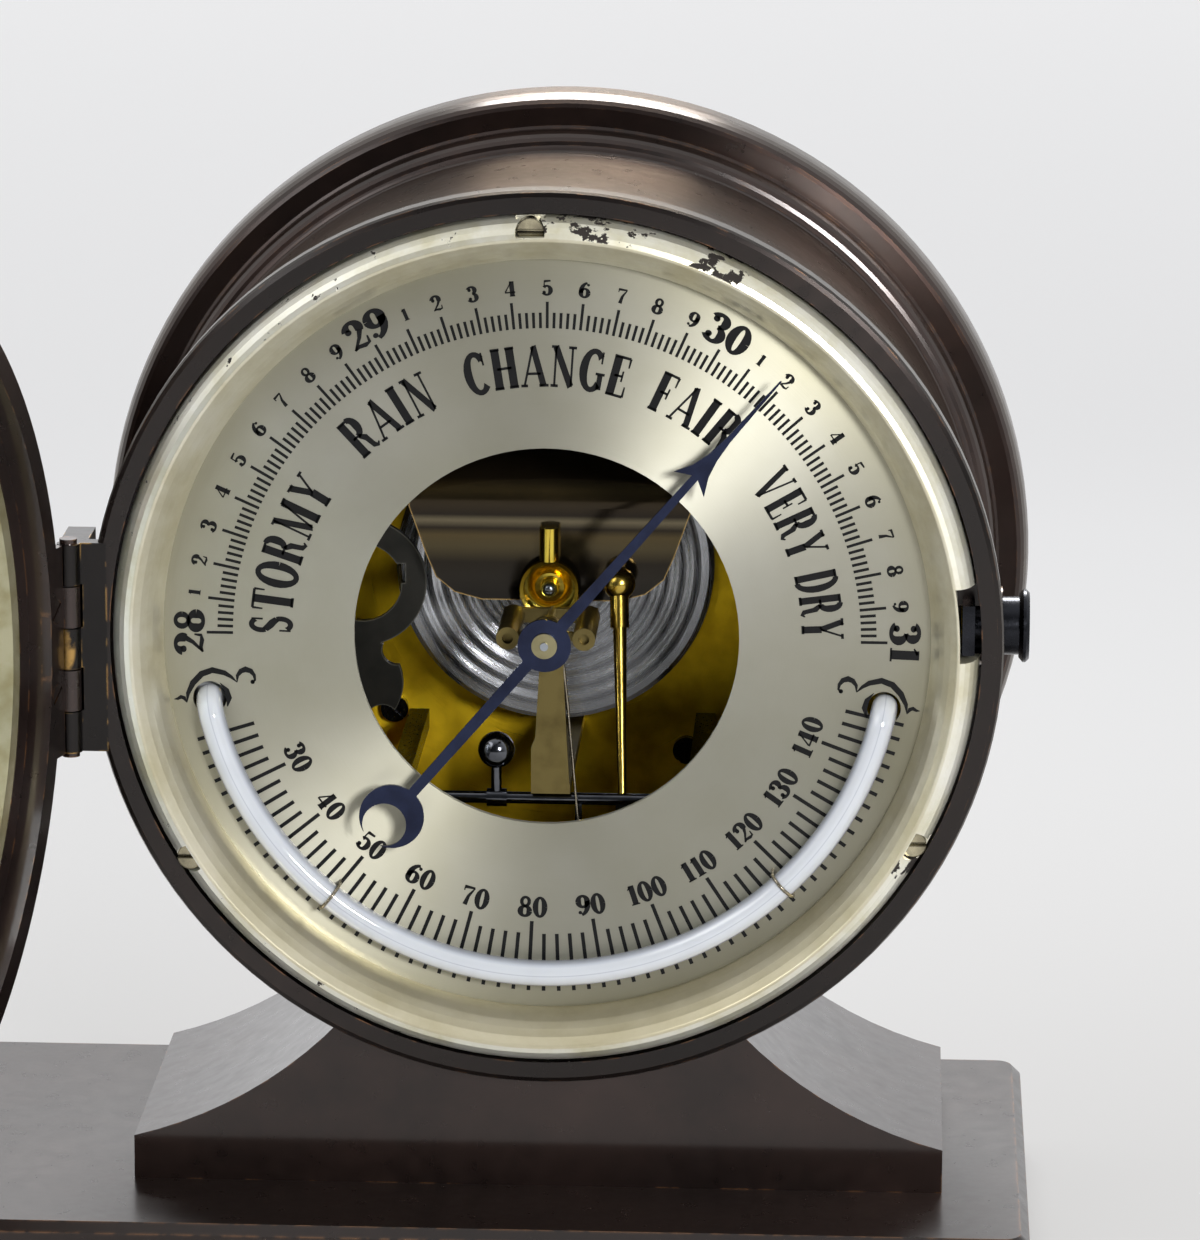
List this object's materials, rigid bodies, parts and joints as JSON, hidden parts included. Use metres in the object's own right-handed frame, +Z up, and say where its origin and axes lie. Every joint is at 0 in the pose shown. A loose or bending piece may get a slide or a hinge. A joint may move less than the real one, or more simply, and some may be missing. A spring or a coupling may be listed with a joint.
{
  "type": "clock and barometer set",
  "caption": "Desk set of a spring clock and an aneroid barometer with a dial thermometer, in turned bronze cases with hinged glazed doors on a shared base.",
  "frame": {"origin": "middle of the felt's underside, which the set stands on", "axes": "+X to the viewer's right, along the base; +Y away from the viewer, from the dials to the backs; +Z up"},
  "size_m": [0.3348, 0.2092, 0.1704],
  "materials": {
    "bronze": "turned, polished, with a dark brown patina",
    "base_bronze": "polished plate with a thin brown patina",
    "felt": "short-napped felt",
    "screw_steel": "turned steel screw, dulled",
    "ring_silver": "silvered and lacquered, slightly yellowed",
    "dial_silver": "silvered, brushed round its centre",
    "glass": "clear plate glass",
    "tube_glass": "glass tube with a white enamel back",
    "wire": "drawn wire",
    "blued_steel": "polished and blued",
    "brass": "turned brass, lacquered",
    "gilt_plate": "grained and gilt",
    "capsule_metal": "pressed corrugated sheet",
    "spring_steel": "tempered leaf spring, dark and bright",
    "dark_steel": "dark steel"
  },
  "bodies": {
    "stand": {"base": "base_bronze", "base_felt": "felt", "pedestals": "bronze", "pedestal_screws": "screw_steel", "case_screws": "screw_steel", "cover_screws": "bronze", "ring_screws": "ring_silver", "hinge_pins": "brass", "barometer_case": "bronze", "barometer_back_cover": "bronze", "barometer_reflector_ring": "ring_silver", "barometer_dial": "dial_silver", "barometer_hinge_leaf": "bronze", "thermometer": "tube_glass", "thermometer_clips": "wire", "pointer_bridge": "brass", "movement_plate": "gilt_plate", "movement_pillars": "brass", "movement_screws": "dark_steel", "capsule": "capsule_metal", "mainspring": "spring_steel", "capsule_post": "brass", "main_lever": "brass", "rocker_posts": "dark_steel", "pointer_chain": "wire", "hairspring": "blued_steel", "lever_plates": "dark_steel", "clock_case": "bronze", "clock_back_cover": "bronze", "clock_reflector_ring": "ring_silver", "clock_dial": "dial_silver", "clock_hinge_leaf": "bronze", "clock_front_plate": "brass", "clock_back_plate": "brass", "clock_pillars": "brass"},
    "barometer_door_body": {"barometer_door": "bronze", "barometer_glass": "glass", "barometer_glass_ring": "ring_silver", "barometer_door_leaf": "bronze", "barometer_leaf_screws": "bronze"},
    "clock_door_body": {"clock_door": "bronze", "clock_glass": "glass", "clock_glass_ring": "ring_silver", "clock_door_leaf": "bronze", "clock_leaf_screws": "bronze"},
    "barometer_latch": {"barometer_latch_button": "dark_steel"},
    "clock_latch": {"clock_latch_button": "dark_steel"},
    "pointer": {"pressure_hand": "blued_steel", "pointer_arbor": "brass"},
    "rocker": {"rocker_shaft": "dark_steel"},
    "centre": {"clock_centre_arbor": "brass", "minute_hand": "blued_steel"},
    "hour": {"hour_hand": "blued_steel"},
    "motion_wheel": {"clock_minute_wheel": "brass"},
    "barrel": {"clock_barrel": "gilt_plate"},
    "winder": {"clock_winding_arbor": "dark_steel"},
    "third": {"clock_third_wheel": "brass"},
    "escape": {"clock_escape_wheel": "brass"},
    "pallets": {"clock_pallets": "screw_steel"},
    "balance": {"clock_balance": "gilt_plate"}
  },
  "joints": [
    {"name": "barometer_door_hinge", "type": "hinge", "parent": "stand", "child": "barometer_door_body", "pos_m": [0.0252, -0.02917, 0.0969], "axis": [0, 0, 1], "range_deg": [0, 106]},
    {"name": "clock_door_hinge", "type": "hinge", "parent": "stand", "child": "clock_door_body", "pos_m": [-0.1648, -0.02917, 0.0969], "axis": [0, 0, 1], "range_deg": [-130, 0]},
    {"name": "barometer_latch_push", "type": "slide", "parent": "stand", "child": "barometer_latch", "axis": [-1, 0, 0], "range_m": [0, 0.001], "stiffness_N_per_m": 400, "springref_m": -0.001},
    {"name": "clock_latch_push", "type": "slide", "parent": "stand", "child": "clock_latch", "axis": [-1, 0, 0], "range_m": [0, 0.001], "stiffness_N_per_m": 400, "springref_m": -0.001},
    {"name": "pointer_turn", "type": "hinge", "parent": "stand", "child": "pointer", "pos_m": [0.095, -0.0325, 0.0984], "axis": [0, 1, 0], "range_deg": [-135, 54], "stiffness_Nm_per_rad": 0.0005},
    {"name": "rocker_turn", "type": "hinge", "parent": "stand", "child": "rocker", "pos_m": [0.095, -0.0185, 0.0724], "axis": [1, 0, 0], "range_deg": [-4.6, 1.9]},
    {"name": "minute_hand_turn", "type": "hinge", "parent": "stand", "child": "centre", "pos_m": [-0.095, -0.0325, 0.0984], "axis": [0, 1, 0], "continuous": true},
    {"name": "hour_hand_turn", "type": "hinge", "parent": "stand", "child": "hour", "pos_m": [-0.095, -0.0325, 0.0984], "axis": [0, 1, 0], "continuous": true},
    {"name": "motion_wheel_turn", "type": "hinge", "parent": "stand", "child": "motion_wheel", "pos_m": [-0.08076, -0.0325, 0.09322], "axis": [0, 1, 0], "continuous": true},
    {"name": "barrel_turn", "type": "hinge", "parent": "stand", "child": "barrel", "pos_m": [-0.10783, -0.0325, 0.08557], "axis": [0, 1, 0], "continuous": true},
    {"name": "winding_turn", "type": "hinge", "parent": "stand", "child": "winder", "pos_m": [-0.10783, -0.0325, 0.08557], "axis": [0, 1, 0], "range_deg": [0, 1440]},
    {"name": "third_wheel_turn", "type": "hinge", "parent": "stand", "child": "third", "pos_m": [-0.08416, -0.0325, 0.1075], "axis": [0, 1, 0], "continuous": true},
    {"name": "escape_wheel_turn", "type": "hinge", "parent": "stand", "child": "escape", "pos_m": [-0.09381, -0.0325, 0.11715], "axis": [0, 1, 0], "continuous": true},
    {"name": "pallets_swing", "type": "hinge", "parent": "stand", "child": "pallets", "pos_m": [-0.10282, -0.0325, 0.11503], "axis": [0, 1, 0], "range_deg": [-4, 4]},
    {"name": "balance_swing", "type": "hinge", "parent": "stand", "child": "balance", "pos_m": [-0.11081, -0.0325, 0.11315], "axis": [0, 1, 0], "range_deg": [-270, 270], "stiffness_Nm_per_rad": 0.00002}
  ],
  "couplings": [
    {"joint": "rocker_turn", "follows": "pointer_turn", "ratio": 0.033333},
    {"joint": "hour_hand_turn", "follows": "minute_hand_turn", "ratio": 0.083333},
    {"joint": "motion_wheel_turn", "follows": "minute_hand_turn", "ratio": -0.33333},
    {"joint": "barrel_turn", "follows": "minute_hand_turn", "ratio": -0.2},
    {"joint": "third_wheel_turn", "follows": "minute_hand_turn", "ratio": -6},
    {"joint": "escape_wheel_turn", "follows": "minute_hand_turn", "ratio": 48}
  ]
}
